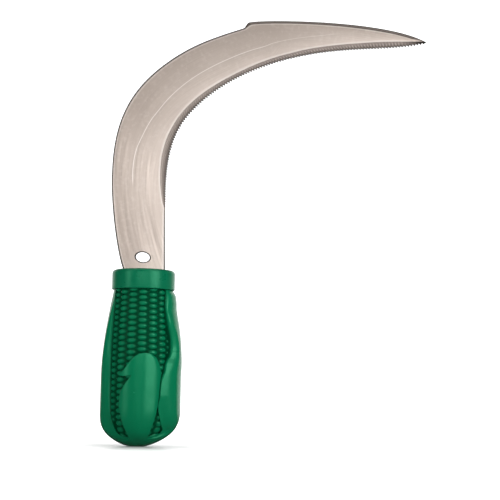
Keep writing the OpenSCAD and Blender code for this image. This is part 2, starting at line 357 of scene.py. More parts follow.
@dataclass(frozen=True)
class PlainFinish:
    """Finish of the pieces closed inside the handle: a mottled plastic or a plain dull steel."""

    name: str
    colour: Colour
    metallic: float
    roughness: float

    def build(self) -> bpy.types.Material:
        """Make the material.

        Returns:
            The material.
        """
        bench = Bench(self.name)
        place = bench.node("ShaderNodeTexCoord").outputs["Object"]
        cloud = bench.noise(place, 240.0)
        paler = tuple(min(1.0, 1.4 * c + 0.01) for c in self.colour)
        bench.link(bench.mix(cloud, self.colour, paler), bench.shader.inputs["Base Color"])
        bench.shader.inputs["Metallic"].default_value = self.metallic
        bench.link(bench.ramp(cloud, self.roughness - 0.1, self.roughness + 0.1),
                   bench.shader.inputs["Roughness"])
        bench.link(bench.bump(cloud, 0.2, 0.0002), bench.shader.inputs["Normal"])
        return bench.material


@dataclass(frozen=True)
class PaleStudio:
    """Pale finish of the studio's sheets, lifted by a glow that grows with the distance from the tool's foot
    over a stretch given in metres. Where the glow is low, round the foot, the floor is painted darker: the
    soft shade there is partly real shadow and partly painted shade."""

    name: str
    colour: Colour
    glow: float
    far_glow: float
    rise_over: tuple[float, float] = (0.03, 0.12)
    roughness: float = 0.3

    def build(self) -> bpy.types.Material:
        """Make the material.

        Returns:
            The material.
        """
        bench = Bench(self.name)
        bench.shader.inputs["Base Color"].default_value = (*self.colour, 1.0)
        bench.shader.inputs["Roughness"].default_value = self.roughness
        bench.shader.inputs["Emission Color"].default_value = (1.0, 1.0, 1.0, 1.0)
        away = bench.node("ShaderNodeVectorMath", operation="LENGTH")
        bench.link(bench.node("ShaderNodeTexCoord").outputs["Object"], away.inputs[0])
        bench.link(bench.ramp(away.outputs["Value"], self.glow, self.far_glow, self.rise_over),
                   bench.shader.inputs["Emission Strength"])
        return bench.material


# ---------------------------------------------------------------- mesh building


@dataclass
class Shape:
    """Points, faces, zone colours and own coordinates of one closed surface, in millimetres."""

    points: np.ndarray
    faces: list[list[int]]
    zones: np.ndarray
    uv: np.ndarray

    @staticmethod
    def loft(rings: np.ndarray, zones: np.ndarray | None = None, uv: np.ndarray | None = None) -> "Shape":
        """Closed solid through rings: point (i, j) is joined to (i + 1, j) and (i, j + 1), and each ring
        wraps round; the first and last rings are filled.

        Args:
            rings: array (rings, points in a ring, 3), each ring turning the same way.
            zones: zone colours, array (rings, points, 3).
            uv: own coordinates, array (rings, points, 2).

        Returns:
            The shape.
        """
        count, size = rings.shape[:2]
        index = np.arange(count * size).reshape(count, size)
        after = np.roll(index, -1, axis=1)
        quads = np.stack([index[:-1], after[:-1], after[1:], index[1:]], axis=-1).reshape(-1, 4)
        faces = quads.tolist() + [index[0, ::-1].tolist(), index[-1].tolist()]
        flat = count * size
        return Shape(rings.reshape(flat, 3), faces,
                     np.zeros((flat, 3)) if zones is None else zones.reshape(flat, 3),
                     np.zeros((flat, 2)) if uv is None else uv.reshape(flat, 2))

    def mirrored(self) -> "Shape":
        """The same shape on the other side of the blade's plane."""
        return Shape(self.points * (1, -1, 1), [face[::-1] for face in self.faces], self.zones, self.uv)

    @staticmethod
    def joined(shapes: list["Shape"]) -> "Shape":
        """Several shapes in one mesh, each still closed.

        Args:
            shapes: the shapes.

        Returns:
            One shape.
        """
        starts = np.cumsum([0] + [len(shape.points) for shape in shapes[:-1]])
        faces = [[k + int(start) for k in face]
                 for shape, start in zip(shapes, starts) for face in shape.faces]
        return Shape(np.concatenate([s.points for s in shapes]), faces,
                     np.concatenate([s.zones for s in shapes]), np.concatenate([s.uv for s in shapes]))

    def piece(self, name: str, sharp: float) -> bpy.types.Object:
        """Make a Blender object of the shape.

        Args:
            name: name of the piece.
            sharp: angle in degrees above which an edge stays sharp.

        Returns:
            The object, at the origin.
        """
        mesh = bpy.data.meshes.new(name)
        mesh.from_pydata((self.points * MM).tolist(), [], self.faces)
        layer = mesh.uv_layers.new(name="length_and_width")
        loops = np.empty(len(mesh.loops), dtype=np.int32)
        mesh.loops.foreach_get("vertex_index", loops)
        layer.data.foreach_set("uv", (self.uv[loops] * MM).ravel())
        colours = mesh.color_attributes.new(ZONES, "FLOAT_COLOR", "CORNER")
        opaque = np.column_stack([self.zones, np.ones(len(self.zones))])
        colours.data.foreach_set("color", opaque[loops].ravel())
        tidy = bmesh.new()
        tidy.from_mesh(mesh)
        bmesh.ops.remove_doubles(tidy, verts=tidy.verts, dist=1e-7)
        bmesh.ops.dissolve_degenerate(tidy, edges=tidy.edges, dist=1e-8)
        bmesh.ops.recalc_face_normals(tidy, faces=tidy.faces)
        tidy.to_mesh(mesh)
        tidy.free()
        smooth_by_angle(mesh, sharp)
        made = bpy.data.objects.new(name, mesh)
        bpy.context.scene.collection.objects.link(made)
        return made


def smooth_by_angle(mesh: bpy.types.Mesh, sharp: float) -> None:
    """Shade a mesh smooth, keeping edges over an angle in degrees sharp."""
    mesh.shade_smooth()
    mesh.set_sharp_from_angle(angle=math.radians(sharp))


def cut_away(piece: bpy.types.Object, cutter: bpy.types.Object, sharp: float) -> None:
    """Take a cutter out of a piece and delete the cutter.

    Args:
        piece: the piece that is cut.
        cutter: closed tool shape.
        sharp: angle in degrees above which an edge stays sharp afterwards.
    """
    step = piece.modifiers.new("cut", "BOOLEAN")
    step.operation = "DIFFERENCE"
    step.solver = "EXACT"
    step.object = cutter
    shaped = piece.evaluated_get(bpy.context.evaluated_depsgraph_get())
    mesh = bpy.data.meshes.new_from_object(shaped)
    piece.modifiers.clear()
    piece.data = mesh
    bpy.data.objects.remove(cutter)
    smooth_by_angle(mesh, sharp)


def ease(value: np.ndarray, low: float, high: float) -> np.ndarray:
    """Smooth step: 0 below low, 1 above high and 3t^2 - 2t^3 between.

    Args:
        value: values to ease.
        low: where the step starts.
        high: where it ends.

    Returns:
        The eased values.
    """
    share = np.clip((value - low) / (high - low), 0.0, 1.0)
    return share * share * (3.0 - 2.0 * share)


def smooth_profile(profile: Profile, value: np.ndarray) -> np.ndarray:
    """Smooth curve through (position, value) pairs: a cubic between neighbours with limited slopes, so it
    never overshoots.

    Args:
        profile: pairs in rising order.
        value: positions to read, held at the ends.

    Returns:
        Values of the curve.
    """
    x, y = np.array(profile, dtype=float).T
    step = np.diff(x)
    slope = np.diff(y) / step
    product, total = slope[:-1] * slope[1:], slope[:-1] + slope[1:]
    inner = np.where(product > 0, 2 * product / np.where(total == 0, 1, total), 0.0)
    tangent = np.concatenate([slope[:1], inner, slope[-1:]])
    at = np.clip(value, x[0], x[-1])
    k = np.clip(np.searchsorted(x, at, side="right") - 1, 0, len(step) - 1)
    t = (at - x[k]) / step[k]
    return ((2 * t**3 - 3 * t**2 + 1) * y[k] + (t**3 - 2 * t**2 + t) * step[k] * tangent[k]
            + (3 * t**2 - 2 * t**3) * y[k + 1] + (t**3 - t**2) * step[k] * tangent[k + 1])


# ---------------------------------------------------------------- blade


@dataclass(frozen=True)
class CubicPath:
    """Cubic curves joined end to end in the blade's plane, each point as x from the axis and height above
    the shoulders."""

    curves: tuple[Profile, ...]
    samples: int = 160

    def trace(self) -> tuple[np.ndarray, np.ndarray]:
        """Dense points along the path and the length up to each.

        Returns:
            Points (n, 2) and lengths (n).
        """
        t = np.linspace(0.0, 1.0, self.samples + 1)[:, None]
        runs = []
        for curve in self.curves:
            p = np.array(curve) + (0.0, SHOULDER_Z)
            run = (1 - t)**3 * p[0] + 3 * t * (1 - t)**2 * p[1] + 3 * t * t * (1 - t) * p[2] + t**3 * p[3]
            runs.append(run if not runs else run[1:])
        points = np.concatenate(runs)
        steps = np.linalg.norm(np.diff(points, axis=0), axis=1)
        return points, np.concatenate([[0.0], np.cumsum(steps)])

    def knots(self) -> np.ndarray:
        """Lengths at the ends of the curves, starting with 0."""
        return self.trace()[1][::self.samples]

    def at(self, lengths: np.ndarray) -> np.ndarray:
        """Points at given lengths along the path.

        Args:
            lengths: lengths from the start.

        Returns:
            Points (n, 2).
        """
        points, run = self.trace()
        return np.stack([np.interp(lengths, run, points[:, k]) for k in (0, 1)], axis=-1)


BACK_PATH = CubicPath((
    ((-11.4, 0.0), (-17.5, 8.4), (-23.3, 51.0), (-22.5, 67.7)),
    ((-22.5, 67.7), (-22.3, 96.7), (-15.6, 119.6), (9.3, 139.4)),
    ((9.3, 139.4), (26.7, 153.3), (40.7, 158.2), (61.4, 165.3)),
    ((61.4, 165.3), (63.2, 165.9), (63.0, 168.8), (65.4, 169.7)),
    ((65.4, 169.7), (76.0, 171.9), (156.0, 173.0), (182.2, 158.5)),
))
EDGE_PATH = CubicPath((
    ((13.8, 0.0), (13.5, 13.4), (12.9, 29.4), (12.8, 43.4)),
    ((12.8, 43.4), (12.6, 69.4), (12.7, 89.8), (27.0, 107.2)),
    ((27.0, 107.2), (43.6, 127.3), (69.8, 140.1), (95.0, 146.3)),
    ((95.0, 146.3), (129.9, 155.4), (156.3, 151.5), (182.2, 158.0)),
))


@dataclass
class Blade:
    """The hooked blade with its bevels, saw teeth, hanging hole and tang. growth scales the bevel's width and
    crease places the crease's painted highlight line across the face, both along the toothed length."""

    bevel_w: float = 4.0
    edge_t: float = 0.3
    back_bevel_w: float = 2.5
    back_edge_t: float = 0.7
    tooth_h: float = 1.6
    tooth_lean: float = 0.62
    tooth_run_in: float = 0.05
    full_grind_w: float = 1.5
    pitch_heel: float = 1.6
    pitch_toe: float = 2.05
    file_mark: float = 0.12
    burr_w: float = 0.55
    burr_h: float = 0.15
    step_share: float = 0.88
    tang_w: float = 14.0
    shoulder_h: float = 2.0
    tooth_steps: int = 6
    neck_steps: int = 24
    # Width of the band beside the back that holds the painted dark edge and its painted highlight line.
    painted_edge_w: float = 0.55
    # Half-width of the crease's painted highlight line.
    crease_highlight_w: float = 0.4
    ground_tone: float = 0.8
    growth: Profile = ((0.0, 0.1), (0.017, 0.55), (0.038, 0.9), (0.066, 1.18), (0.1, 1.4), (0.134, 1.48),
                       (0.17, 1.43), (0.21, 1.28), (0.3, 1.07), (0.36, 0.89), (0.42, 0.74), (0.46, 0.7),
                       (0.5, 0.75), (0.62, 1.01), (0.7, 1.14), (0.84, 1.17), (0.89, 1.1), (0.957, 0.68),
                       (1.0, 0.2))
    sharp: float = 7.0
    crease: Profile = ((0.0, 0.39), (0.06, 0.41), (0.095, 0.44), (0.136, 0.5), (0.183, 0.54), (0.227, 0.575),
                       (0.336, 0.59), (0.46, 0.6), (0.54, 0.61), (0.6, 0.63), (0.675, 0.59), (0.74, 0.54),
                       (0.8, 0.45), (1.0, 0.4))
    hole_l: float = 9.0
    hole_h: float = 6.4
    hole_at: tuple[float, float] = (-0.9, 8.7)
    hole_slant: float = 7.0
    rivet_drops: tuple[float, float] = (23.0, 63.0)
    rivet_r: float = 2.1
    lip_depth: float = 0.3
    lip_w: float = 0.6
    drill_sides: int = 72
    steel: SatinSteel = field(default_factory=lambda: SatinSteel("satin_steel"))

    def stations(self) -> tuple[np.ndarray, np.ndarray, np.ndarray]:
        """Lengths along the cutting edge where the blade is sectioned. In the toothed part the pitch grows
        steadily, so after n teeth the length is pitch / growth * (exp(growth * n) - 1).

        Returns:
            Length, tooth number (0 in the neck) and share of the toothed length, at each station.
        """
        heel, end = EDGE_PATH.knots()[[1, -1]]
        toothed = end - heel
        growth = (self.pitch_toe - self.pitch_heel) / toothed
        teeth = math.log(self.pitch_toe / self.pitch_heel) / growth
        number = np.arange(0.0, teeth, 1.0 / self.tooth_steps)
        length = heel + self.pitch_heel / growth * (np.exp(growth * number) - 1.0)
        neck = np.linspace(0.0, heel, self.neck_steps, endpoint=False)
        lengths = np.concatenate([neck, length, [end]])
        numbers = np.concatenate([np.zeros(len(neck)), number, [teeth]])
        return lengths, numbers, np.clip((lengths - heel) / toothed, 0.0, 1.0)

    def facing(self, lengths: np.ndarray) -> tuple[np.ndarray, np.ndarray]:
        """Point on the back that faces each station, and how far the toe's back bevel has grown there.

        Args:
            lengths: lengths along the cutting edge.

        Returns:
            Points (n, 2) and growth from 0 to 1 (n).
        """
        edge, back = EDGE_PATH.knots(), BACK_PATH.knots()
        step_from = edge[2] + self.step_share * (edge[3] - edge[2])
        run = np.interp(lengths, [0.0, edge[1], edge[2], step_from, edge[3], edge[4]], back)
        return BACK_PATH.at(run), np.clip((run - back[3]) / (back[4] - back[3]), 0.0, 1.0)

    def section(self, width: np.ndarray, share: np.ndarray, rear: np.ndarray,
                wave: np.ndarray) -> np.ndarray:
        """Cross-sections from the back edge round to the flat side. Each stop is an offset from the back
        edge, a depth, and three zone values: bevel, whose top end is painted near-black as a dark edge;
        painted highlight lines on the crease and beside the edges; and the inner side, whose low end is
        painted darker as shade. The point is all bevel.

        Args:
            width: width of the blade at each station.
            share: share of the toothed length.
            rear: growth of the toe's back bevel.
            wave: saw-tooth wave from -0.5 to 0.5.

        Returns:
            Array (stations, stops, 5).
        """
        half = BLADE_T / 2
        zero, one = np.zeros_like(width), np.ones_like(width)
        face = -half * one
        bevel = self.bevel_w * smooth_profile(self.growth, share) * (share > 0)
        toothed = np.minimum(1.0, bevel / self.full_grind_w)
        thin = np.maximum(self.burr_h, (BLADE_T - self.edge_t) * toothed)
        thick = np.maximum(self.burr_h, (BLADE_T - self.back_edge_t) * rear)
        a = np.minimum(np.maximum(self.back_bevel_w * rear, self.burr_w), 0.35 * width)
        b = width - np.minimum(np.maximum(bevel, self.burr_w), 0.45 * width)
        fading = (1.0 - 0.5 * ease(share, 0.55, 0.66)) * (1.0 - ease(share, 0.74, 0.82))
        # Strength of the painted highlight line along the crease.
        crease_highlight = ease(share, 0.0, 0.02) * fading
        middle = a + (b - a) * smooth_profile(self.crease, share)
        line = np.minimum(self.crease_highlight_w, 0.1 * (b - a))
        edge = width + self.tooth_h * np.minimum(1.0, share / self.tooth_run_in) * wave
        rim = np.minimum(self.painted_edge_w, 0.06 * (b - a))
        lip = 0.15 * rim
        # Strength of the painted highlight lines beside the edges.
        edge_highlight = 0.5 * np.minimum(1.0, (b - a) / 6.0)
        shade = 0.45 * one
        # The bevel zone is 1 on the back's rounded edge and climbs to 1 at the tooth tips and near the point,
        # where the near-black painted dark edge takes over.
        deepest = 1.0 - self.ground_tone
        ground = np.where(share > 0, self.ground_tone + deepest * ease(share, 0.92, 1.0), one)
        stops = [
            (zero, thick - half, one, zero, zero),
            (0.35 * a, 0.65 * thick - half, 1.0 - 0.11 * rear, zero, zero),
            (0.75 * a, 0.25 * thick - half, 1.0 - 0.11 * rear, zero, zero),
            (a, face, one, zero, zero),
            (a + rim, face, 0.5 * (1.0 - rear), 0.2 * one, zero),
            (a + 1.6 * rim, face, zero, edge_highlight, 0.05 * one),
            (a + 2.8 * rim, face, zero, zero, 0.1 * one),
            (middle - line, face, zero, zero, shade),
            (middle, face, zero, crease_highlight, shade),
            (middle + line, face, zero, zero, shade),
            (b - 3.4 * rim, face, zero, zero, 0.95 * one),
            (b - 1.6 * rim, face, zero, 1.2 * edge_highlight, one),
            (b - lip, face, 0.35 * (1.0 - toothed), 0.8 * edge_highlight, one),
            (b, face, ground, zero, one),
        ]
        for across in (0.3, 0.55, 0.8, 1.0):
            marks = self.file_mark * across * wave * toothed * 2.0
            stops.append((b + across * (edge - b), across * thin - half - marks * (across < 1),
                          np.maximum(ground, self.ground_tone + deepest * across**3), zero, one))
        stops += [
            (edge, half * one, 0.3 * one, zero, one),
            (0.8 * width, half * one, zero, zero, one),
            (0.5 * width, half * one, zero, zero, 0.5 * one),
            (0.2 * width, half * one, zero, zero, zero),
            (zero, half * one, zero, zero, zero),
        ]
        rings = np.stack([np.stack(np.broadcast_arrays(*stop), axis=-1) for stop in stops], axis=1)
        # Near the point every stop is bevel, so the point is painted near-black.
        rings[..., 2] = np.maximum(rings[..., 2], ease(share, 0.972, 0.996)[:, None])
        return rings

    def build(self) -> bpy.types.Object:
        """Build and dress the blade.

        Returns:
            The piece.
        """
        lengths, numbers, share = self.stations()
        front = EDGE_PATH.at(lengths)
        back, rear = self.facing(lengths)
        tang = np.array([TANG_Z, SHOULDER_Z - self.shoulder_h])
        rows = np.stack([np.full(2, self.tang_w / 2), tang], axis=-1)
        front = np.concatenate([rows, front])
        back = np.concatenate([rows * (-1, 1), back])
        pad = np.zeros(2)
        share, rear = np.concatenate([pad, share]), np.concatenate([pad, rear])
        phase = np.concatenate([pad, numbers]) % 1.0
        wave = np.where(phase < self.tooth_lean, phase / self.tooth_lean,
                        (1.0 - phase) / (1.0 - self.tooth_lean)) - 0.5
        width = np.linalg.norm(front - back, axis=1)
        across = (front - back) / width[:, None]
        stops = self.section(width, share, rear, wave)
        offset, depth = stops[..., 0], stops[..., 1]
        points = np.stack([back[:, None, 0] + offset * across[:, None, 0], depth,
                           back[:, None, 1] + offset * across[:, None, 1]], axis=-1)
        run = np.concatenate([tang - SHOULDER_Z, lengths])
        uv = np.stack(np.broadcast_arrays(run[:, None], offset), axis=-1)
        piece = Shape.loft(points, stops[..., 2:5], uv).piece("hooked_blade", self.sharp)
        cut_away(piece, self.drill(), self.sharp)
        piece.data.materials.append(self.steel.build())
        return piece

    def drill(self) -> bpy.types.Object:
        """Tool that cuts the oval hanging hole, eased at both faces, and the two rivet holes.

        Returns:
            The cutter.
        """
        half, depth, lip = BLADE_T / 2, self.lip_depth, self.lip_w
        slant = -math.radians(self.hole_slant)
        tools = []
        spools = [(self.hole_h / 2, self.hole_l / self.hole_h, slant,
                   (self.hole_at[0], HANDLE_H + self.hole_at[1]), lip)]
        spools += [(self.rivet_r, 1.0, 0.0, (0.0, SHOULDER_Z - drop), 0.0) for drop in self.rivet_drops]
        for radius, stretch, turn, at, eased in spools:
            a = np.linspace(0.0, 2 * np.pi, self.drill_sides, endpoint=False)
            rings = []
            for y, r in ((-4 * half, radius + eased), (-half, radius + eased), (depth - half, radius),
                         (half - depth, radius), (half, radius + eased), (4 * half, radius + eased)):
                x, z = r * stretch * np.cos(a), r * np.sin(a)
                rings.append(np.stack([at[0] + x * math.cos(turn) - z * math.sin(turn), np.full_like(a, y),
                                       at[1] + x * math.sin(turn) + z * math.cos(turn)], axis=-1))
            rings = np.array(rings if eased else rings[::5])
            # The cutter's zone colour (1, 0, 0) passes to the holes' walls, which are painted near-black as a
            # dark edge.
            tools.append(Shape.loft(rings, np.full(rings.shape, (1.0, 0.0, 0.0))))
        return Shape.joined(tools).piece("blade_drill", self.sharp)


# ---------------------------------------------------------------- grip


class Flank(Enum):
    """The two side husks of the grip; the value is the side of the axis."""

    BACK_OF_BLADE = -1
    EDGE_OF_BLADE = 1


@dataclass
class CobForm:
    """The plain form under the kernels and leaves: a round cob that swells from the mouth to the belly and
    closes on a small flat base."""

    base_r: float = 5.0
    base_round_h: float = 24.0
    belly_drop: float = 58.0

    def radius(self, z: np.ndarray, belly: float) -> np.ndarray:
        """Radius at a height: the swell to the belly is a quarter sine, and the lower end follows
        (1 - (1 - z/h)^3)^0.8.

        Args:
            z: heights.
            belly: radius at the belly.

        Returns:
            Radii.
        """
        swell = np.sin(np.pi / 2 * np.clip((GRIP_H - z) / self.belly_drop, 0.0, 1.0))
        closing = (1.0 - np.clip(1.0 - z / self.base_round_h, 0.0, 1.0)**3)**0.8
        return self.base_r + (MOUTH_R + (belly - MOUTH_R) * swell - self.base_r) * closing


FORM = CobForm()


def around(radius: np.ndarray, angle: np.ndarray, z: np.ndarray) -> np.ndarray:
    """Points at a radius, an angle in degrees from the front (-Y) and a height."""
    a = np.radians(angle)
    return np.stack(np.broadcast_arrays(radius * np.sin(a), -radius * np.cos(a), z), axis=-1)


@dataclass
class Cob:
    """The field of kernels: columns every 21 degrees, neighbours staggered by half a kernel, on a hollow half
    shell with its spigot."""

    column: float = 21.0
    column_turn: float = 4.5
    steps: int = 8
    kernel_h: float = 1.35
    pitch_top: float = 3.55
    pitch_base: float = 4.1
    first_row: float = 0.63
    rim_h: float = 5.6
    rim_rise: float = 0.0135
    bead_w: float = 0.92
    bead_l: float = 0.92
    parting: float = 89.2
    cavity_steps: int = 25

    def rows(self, z: np.ndarray) -> np.ndarray:
        """Number of kernel rows between the mouth and a height, where the pitch grows steadily downwards."""
        growth = (self.pitch_base - self.pitch_top) / GRIP_H
        return np.log1p(growth * (GRIP_H - z) / self.pitch_top) / growth

    def heights(self) -> np.ndarray:
        """Heights of the shell's rings: close together round the base, then eight to a kernel.

        Returns:
            Rising heights up to the mouth.
        """
        growth = (self.pitch_base - self.pitch_top) / GRIP_H
        rows = np.arange(0.0, self.rows(np.array(self.rim_h)), 1.0 / self.steps)
        field_z = GRIP_H - self.pitch_top * np.expm1(growth * rows) / growth
        base = self.rim_h * (1.0 - np.cos(np.linspace(0.0, np.pi / 2, 9)[:-1]))
        return np.concatenate([base, field_z[1:][::-1]])

    def relief(self, angle: np.ndarray, z: np.ndarray) -> tuple[np.ndarray, np.ndarray]:
        """Height of the surface below the kernels' tops, and how hollow it is, which sets the painted shade.
        A bead is (1 - u^2 - v^2)^0.5, with u and v from -1 to 1 across and along the kernel.

        Args:
            angle: degrees from the front.
            z: heights.

        Returns:
            Relief in millimetres (0 on a kernel's top) and hollowness from 0 to 1, the share of painted
            shade.
        """
        turned = (angle - self.column_turn) / self.column
        column = np.round(turned)
        u = 2.0 * (turned - column)
        row = self.rows(z) - self.first_row - 0.5 * (column % 2)
        v = 2.0 * (row - np.round(row))
        bead = np.clip(1.0 - (u / self.bead_w)**2 - (v / self.bead_l)**2, 0.0, 1.0)**0.5
        side = FORM.radius(z, COB_R) * np.abs(np.sin(np.radians(angle)))
        above_rim = z - self.rim_h - self.rim_rise * side**2
        inside = ease(above_rim, 0.0, 0.7)
        grown = ease(above_rim, 0.5, 9.0) * 0.55 + 0.45
        return inside * self.kernel_h * (bead * grown - 1.0), inside * (1.0 - bead)**0.8

    def shell(self) -> Shape:
        """The front half shell: outer surface, flat parting faces, and the cavity for the core.

        Returns:
            The shape.
        """
        spots = np.array([-1.0, -0.92, -0.8, -0.6, -0.3, 0.0, 0.3, 0.6, 0.8, 0.92]) * self.column / 2
        angles = (self.column_turn + np.arange(-5, 6)[:, None] * self.column + spots).ravel()
        angles = np.concatenate([[-90.0], angles[np.abs(angles) < self.parting], [90.0]])
        z = self.heights()
        grid_a, grid_z = np.meshgrid(angles, z)
        relief, hollow = self.relief(grid_a, grid_z)
        outer = around(FORM.radius(grid_z, COB_R) + relief, grid_a, grid_z)
        spigot_z = np.array([GRIP_H, SHOULDER_Z - FIT])
        spigot = around(np.full((2, len(angles)), SPIGOT_R), angles, spigot_z[:, None])
        outer = np.concatenate([outer, spigot])
        zones = np.zeros(outer.shape)
        # Painted shade: the valleys between the kernels, and the spigot under the collar, take the darker
        # hollow colour.
        zones[:len(z), :, 0] = hollow
        zones[len(z):, :, 0] = 0.8
        turn = np.linspace(90.0, -90.0, self.cavity_steps)
        all_z = np.concatenate([z, spigot_z])
        floor = int(np.searchsorted(all_z, CORE_FLOOR - FIT))
        inner_r = np.where(np.arange(len(all_z)) > floor, CORE_R + FIT, 0.0)[:, None]
        inner = around(np.repeat(inner_r, len(turn), axis=1), turn, all_z[:, None])
        inner[floor + 1, :, 2] = inner[floor, :, 2]
        return Shape.loft(np.concatenate([outer, inner], axis=1),
                          np.concatenate([zones, np.zeros(inner.shape)], axis=1))


@dataclass
class Husk:
    """A side husk: a smooth leaf wrapped round the flank, with a rounded front edge that stands on the cob.
    Its section is a rounded box |x/a|^n + |y/b|^n = 1, blended into the round base."""

    flank: Flank
    front: Profile
    depth: Profile
    boxiness: Profile = ((0.0, 2.4), (20.0, 2.5), (45.0, 2.6), (52.0, 3.0), (57.3, 3.5), (62.5, 4.0),
                         (85.0, 4.0), (94.0, 3.6), (100.3, 2.6))
    fuller: Profile = ((0.0, 0.0), (1.0, 0.0))
    fold_z: float = -1.0
    fold_step: float = 0.35
    soft_z: float = 20.0
    lip: float = 1.0
    buried: float = 2.6
    across: int = 26
    along: int = 150
    bed_steps: int = 5

    def radius(self, angle: np.ndarray, z: np.ndarray) -> np.ndarray:
        """Outer radius of the husk.

        Args:
            angle: degrees from the front, positive on either side.
            z: heights.

        Returns:
            Radii.
        """
        a = np.radians(angle)
        cob = FORM.radius(z, COB_R)
        flank = FORM.radius(z, FLANK_R) + smooth_profile(self.fuller, z)
        power = smooth_profile(self.boxiness, z)
        deep = smooth_profile(self.depth, z)
        box = (np.abs(np.sin(a) / flank)**power + np.abs(np.cos(a) / deep)**power)**(-1.0 / power)
        lip = cob + self.lip * ease(z, 8.0, 24.0) * ease(GRIP_H - z, 0.0, 9.0)
        raised = (box**24 + lip**24)**(1.0 / 24)
        rounded = ((np.sin(a) / flank)**2 + (np.cos(a) / (cob + 0.15))**2)**-0.5
        blend = ease(z, 9.0, 23.0)
        folded = 0.0
        if self.fold_z > 0:
            folded = self.fold_step * (1.0 - ease(z, self.fold_z - 0.25, self.fold_z + 0.25))
        return np.minimum(blend * raised + (1.0 - blend) * rounded + folded * blend, flank)

    def shape(self) -> Shape:
        """The husk as a closed solid whose inner side is buried in the cob.

        Returns:
            The shape.
        """
        z = np.sort(np.concatenate([np.linspace(0.0, GRIP_H - FIT, self.along),
                                    self.fold_z + np.array([-0.3, -0.1, 0.1, 0.3])]))
        z = z[z >= 0.0]
        cob = FORM.radius(z, COB_R)
        start = np.full(len(z), 60.0)
        for _ in range(12):
            out = np.maximum(self.radius(start, z), 0.5)
            reach = np.clip(smooth_profile(self.front, z) / out, 0.0, 0.985)
            start = 0.5 * (start + np.degrees(np.arcsin(reach)))
        share = np.linspace(0.0, 1.0, self.across)**1.3
        turned = start[:, None] + (90.0 - start)[:, None] * share
        full = self.radius(turned, z[:, None])
        soft = (1.0 - ease(z, self.soft_z - 8.0, self.soft_z + 4.0))[:, None] * (1.0 - ease(
            turned - start[:, None], 0.0, 24.0))
        full = full + soft * (np.minimum(full, cob[:, None] + 0.15) - full)
        edge_angle = np.repeat(start[:, None], 3, axis=1)
        edge_full = full[:, :1]
        height = np.maximum(edge_full - cob[:, None], 0.2)
        wall = np.concatenate([(cob - self.buried)[:, None], edge_full - 0.55 * height,
                               edge_full - 0.15 * height], axis=1)
        nudge = np.degrees(np.array([-0.05, -0.05, 0.12]) / np.maximum(cob[:, None], 1.0))
        bed = np.maximum(cob - self.buried, 0.4)[:, None]
        bed_angle = np.linspace(90.0, 45.0, self.bed_steps)[None, :] + np.zeros((len(z), 1))
        angle = np.concatenate([edge_angle + nudge, np.maximum(turned, start[:, None] + 1.6 * (share > 0)),
                                bed_angle], axis=1)
        angle[:, -self.bed_steps:] = np.maximum(angle[:, -self.bed_steps:], start[:, None])
        radius = np.concatenate([np.maximum(wall, 0.4), full, np.repeat(bed, self.bed_steps, axis=1)], axis=1)
        points = around(radius, angle * self.flank.value, z[:, None])
        zones = np.zeros(points.shape)
        # Painted shade along the foot of the husk's front wall, where it stands on the cob.
        zones[:, :2, 0] = 0.9
        return Shape.loft(points if self.flank is Flank.EDGE_OF_BLADE else points[:, ::-1],
                          zones if self.flank is Flank.EDGE_OF_BLADE else zones[:, ::-1])


